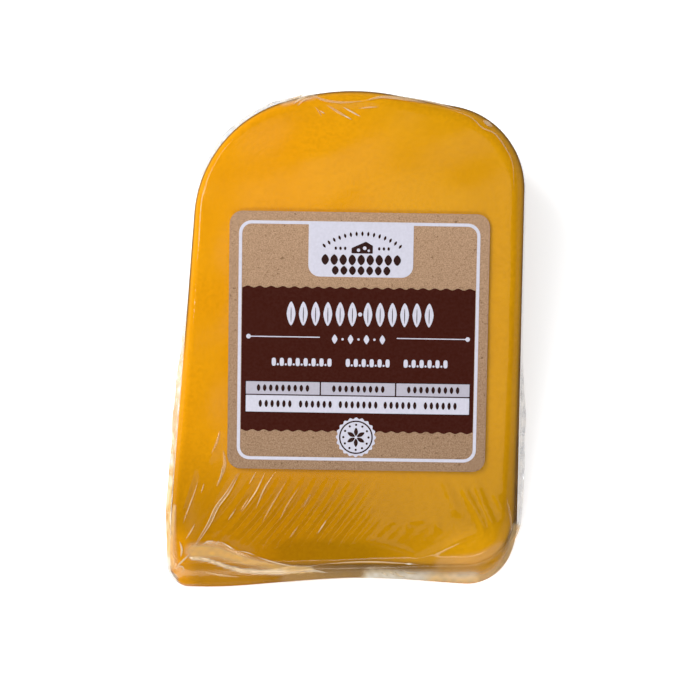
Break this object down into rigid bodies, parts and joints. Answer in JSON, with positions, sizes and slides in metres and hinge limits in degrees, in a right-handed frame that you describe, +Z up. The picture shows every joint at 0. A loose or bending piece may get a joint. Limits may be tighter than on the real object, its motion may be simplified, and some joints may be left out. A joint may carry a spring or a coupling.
{
  "type": "cheese wedge",
  "caption": "Wedge of smoked gouda in clear shrink film with a square kraft label, lying on one cut face and tapering from a rounded rim to a thin tip.",
  "frame": {"origin": "centre of the footprint, on the surface that the wedge lies on", "axes": "+Y from the thin tip to the rim, +Z up from the cut face that it lies on, +X from the wheel's domed side to its flat side"},
  "size_m": [0.0903, 0.1232, 0.0387],
  "materials": {
    "cheese_in_film": "golden orange cheese under tight glossy clear film",
    "kraft_label": "matte kraft paper with white and dark brown print"
  },
  "bodies": {
    "root": {"wrapped_wedge": "cheese_in_film", "label": "kraft_label"}
  },
  "joints": []
}
